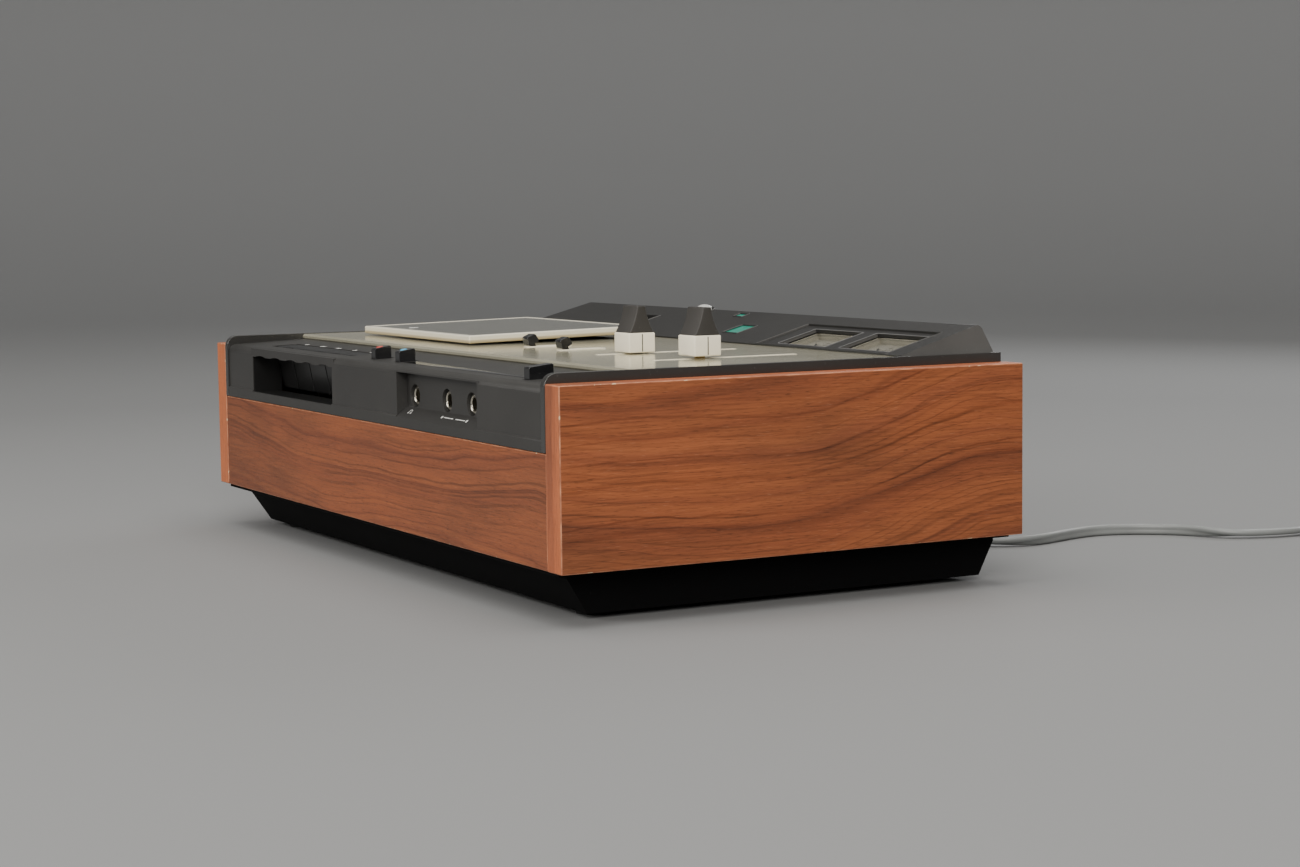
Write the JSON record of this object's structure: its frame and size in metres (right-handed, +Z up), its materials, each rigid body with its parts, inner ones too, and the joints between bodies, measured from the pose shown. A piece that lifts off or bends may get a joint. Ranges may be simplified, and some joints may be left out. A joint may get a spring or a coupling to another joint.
{
  "type": "cassette deck",
  "caption": "Top-loading stereo cassette deck in a walnut cabinet, with piano keys, hinged lid, sliding level controls, toggle levers and a raised meter bridge.",
  "frame": {"origin": "on the floor under the middle of the cabinet", "axes": "+X to the deck's right seen from its front, +Y to the rear, +Z up"},
  "size_m": [0.4685, 0.5595, 0.1341],
  "materials": {
    "walnut": "satin walnut veneer",
    "black_moulding": "fine satin black",
    "black_key": "gloss black",
    "fader_knob": "cream skirt and black grip",
    "cream_plastic": "gloss cream",
    "smoked_window": "smoked acrylic",
    "deck_aluminium": "satin anodised, warm",
    "tub_black": "dull black",
    "foot_rubber": "dull",
    "rear_paint": "black paint",
    "bright_steel": "plated",
    "zinc_steel": "zinc plated",
    "motor_can": "grey paint",
    "brass": "turned",
    "flywheel_metal": "machined rim",
    "belt_rubber": "dull",
    "reel_plastic": "white nylon",
    "meter_face": "printed dial in a moulded case",
    "needle": "black",
    "meter_glass": "clear",
    "green_lens": "green, lit from behind",
    "counter_drum": "black with white marks",
    "white_button": "gloss white",
    "nickel": "nickel plated",
    "core_steel": "varnished laminations",
    "board": "phenolic board",
    "cord_grey": "grey vinyl"
  },
  "bodies": {
    "cabinet": {"side_panel_left": "walnut", "side_panel_right": "walnut", "front_panel": "walnut", "rear_panel": "rear_paint", "rear_screws": "bright_steel", "bottom_cover": "tub_black", "rubber_feet": "foot_rubber", "top_frame": "black_moulding", "front_fascia": "black_moulding", "top_plate": "deck_aluminium", "meter_bridge": "black_moulding", "vu_meters": "meter_face", "meter_lenses": "meter_glass", "lamp_lenses": "green_lens", "counter_frame": "black_moulding", "cassette_well": "black_moulding", "key_shaft": "bright_steel", "key_bracket": "zinc_steel", "key_springs": "bright_steel", "lever_switches": "zinc_steel", "slide_pots": "zinc_steel", "phone_jacks": "nickel", "chassis": "zinc_steel", "transport_plate": "zinc_steel", "motor": "motor_can", "drive_belt": "belt_rubber", "transformer": "core_steel", "circuit_board": "board", "phono_sockets": "nickel", "strain_relief": "cord_grey", "power_cord": "cord_grey", "cord_coil": "cord_grey", "power_plug": "cord_grey"},
    "lid": {"lid_frame": "cream_plastic", "lid_window": "smoked_window"},
    "key_record": {"key_record": "black_key"},
    "key_rewind": {"key_rewind": "black_key"},
    "key_fast_forward": {"key_fast_forward": "black_key"},
    "key_play": {"key_play": "black_key"},
    "key_stop": {"key_stop": "black_key"},
    "lever_red": {"lever_red": "black_key"},
    "lever_blue": {"lever_blue": "black_key"},
    "power_lever": {"power_lever": "black_key"},
    "toggle_lever_left": {"toggle_lever_left": "black_key"},
    "toggle_lever_right": {"toggle_lever_right": "black_key"},
    "meter_needle_left": {"meter_needle_left": "needle"},
    "meter_needle_right": {"meter_needle_right": "needle"},
    "counter_drums": {"counter_drums": "counter_drum"},
    "counter_button": {"counter_button": "white_button"},
    "reel_spindle_left": {"reel_spindle_left": "reel_plastic"},
    "reel_spindle_right": {"reel_spindle_right": "reel_plastic"},
    "flywheel": {"flywheel": "flywheel_metal"},
    "motor_pulley": {"motor_pulley": "brass"},
    "pinch_roller": {"pinch_roller": "belt_rubber"},
    "fader_left": {"fader_knob_left": "fader_knob", "fader_tang_left": "brass"},
    "fader_right": {"fader_knob_right": "fader_knob", "fader_tang_right": "brass"},
    "head_carriage": {"head_carriage": "bright_steel", "tape_heads": "bright_steel"}
  },
  "joints": [
    {"name": "lid_open", "type": "hinge", "parent": "cabinet", "child": "lid", "pos_m": [0, 0.057, 0.101], "axis": [-1, 0, 0], "range_deg": [0, 50]},
    {"name": "key_record_press", "type": "hinge", "parent": "cabinet", "child": "key_record", "pos_m": [0, -0.07, 0.092], "axis": [1, 0, 0], "range_deg": [0, 6], "stiffness_Nm_per_rad": 0.6, "springref_deg": -4.58},
    {"name": "key_rewind_press", "type": "hinge", "parent": "cabinet", "child": "key_rewind", "pos_m": [0, -0.07, 0.092], "axis": [1, 0, 0], "range_deg": [0, 6], "stiffness_Nm_per_rad": 0.6, "springref_deg": -4.58},
    {"name": "key_fast_forward_press", "type": "hinge", "parent": "cabinet", "child": "key_fast_forward", "pos_m": [0, -0.07, 0.092], "axis": [1, 0, 0], "range_deg": [0, 6], "stiffness_Nm_per_rad": 0.6, "springref_deg": -4.58},
    {"name": "key_play_press", "type": "hinge", "parent": "cabinet", "child": "key_play", "pos_m": [0, -0.07, 0.092], "axis": [1, 0, 0], "range_deg": [0, 6], "stiffness_Nm_per_rad": 0.6, "springref_deg": -4.58},
    {"name": "key_stop_press", "type": "hinge", "parent": "cabinet", "child": "key_stop", "pos_m": [0, -0.07, 0.092], "axis": [1, 0, 0], "range_deg": [0, 6], "stiffness_Nm_per_rad": 0.6, "springref_deg": -4.58},
    {"name": "lever_red_rock", "type": "hinge", "parent": "cabinet", "child": "lever_red", "pos_m": [-0.0112, -0.1085, 0.101], "axis": [-1, 0, 0], "range_deg": [0, 10]},
    {"name": "lever_blue_rock", "type": "hinge", "parent": "cabinet", "child": "lever_blue", "pos_m": [0.02, -0.1085, 0.101], "axis": [-1, 0, 0], "range_deg": [0, 10]},
    {"name": "power_rock", "type": "hinge", "parent": "cabinet", "child": "power_lever", "pos_m": [0.175, -0.1085, 0.101], "axis": [-1, 0, 0], "range_deg": [0, 10]},
    {"name": "toggle_left_throw", "type": "hinge", "parent": "cabinet", "child": "toggle_lever_left", "pos_m": [0.01, -0.0225, 0.09], "axis": [-1, 0, 0], "range_deg": [0, 46]},
    {"name": "toggle_right_throw", "type": "hinge", "parent": "cabinet", "child": "toggle_lever_right", "pos_m": [0.048, -0.0225, 0.09], "axis": [-1, 0, 0], "range_deg": [0, 46]},
    {"name": "fader_left_slide", "type": "slide", "parent": "cabinet", "child": "fader_left", "axis": [0, 1, 0], "range_m": [-0.017, 0.053]},
    {"name": "fader_right_slide", "type": "slide", "parent": "cabinet", "child": "fader_right", "axis": [0, 1, 0], "range_m": [-0.021, 0.049]},
    {"name": "needle_left_swing", "type": "hinge", "parent": "cabinet", "child": "meter_needle_left", "pos_m": [0.108, 0.07509, 0.10702], "axis": [0, 0.2652, -0.9642], "range_deg": [0, 84], "stiffness_Nm_per_rad": 0.0004, "springref_deg": -17.19},
    {"name": "needle_right_swing", "type": "hinge", "parent": "cabinet", "child": "meter_needle_right", "pos_m": [0.1645, 0.07509, 0.10702], "axis": [0, 0.2652, -0.9642], "range_deg": [0, 84], "stiffness_Nm_per_rad": 0.0004, "springref_deg": -17.19},
    {"name": "reel_left_spin", "type": "hinge", "parent": "cabinet", "child": "reel_spindle_left", "pos_m": [-0.11575, 0.006, 0.08], "axis": [0, 0, 1], "continuous": true},
    {"name": "reel_right_spin", "type": "hinge", "parent": "cabinet", "child": "reel_spindle_right", "pos_m": [-0.07325, 0.006, 0.08], "axis": [0, 0, 1], "continuous": true},
    {"name": "capstan_spin", "type": "hinge", "parent": "cabinet", "child": "flywheel", "pos_m": [-0.0615, -0.0184, 0.064], "axis": [0, 0, 1], "continuous": true},
    {"name": "motor_spin", "type": "hinge", "parent": "cabinet", "child": "motor_pulley", "pos_m": [-0.132, 0.012, 0.064], "axis": [0, 0, 1], "continuous": true},
    {"name": "head_slide", "type": "slide", "parent": "cabinet", "child": "head_carriage", "axis": [0, 1, 0], "range_m": [0, 0.0041]},
    {"name": "pinch_spin", "type": "hinge", "parent": "head_carriage", "child": "pinch_roller", "pos_m": [-0.0615, -0.0305, 0.094], "axis": [0, 0, 1], "continuous": true},
    {"name": "counter_spin", "type": "hinge", "parent": "cabinet", "child": "counter_drums", "pos_m": [-0.096, 0.09231, 0.10739], "axis": [1, 0, 0], "continuous": true},
    {"name": "counter_reset_press", "type": "slide", "parent": "cabinet", "child": "counter_button", "axis": [0, 0.2652, -0.9642], "range_m": [0, 0.002], "stiffness_N_per_m": 250, "springref_m": -0.003}
  ],
  "couplings": [
    {"joint": "motor_spin", "follows": "capstan_spin", "ratio": 6},
    {"joint": "head_slide", "follows": "key_play_press", "m_per_rad": 0.0385},
    {"joint": "counter_spin", "follows": "reel_right_spin", "ratio": 0.05}
  ]
}
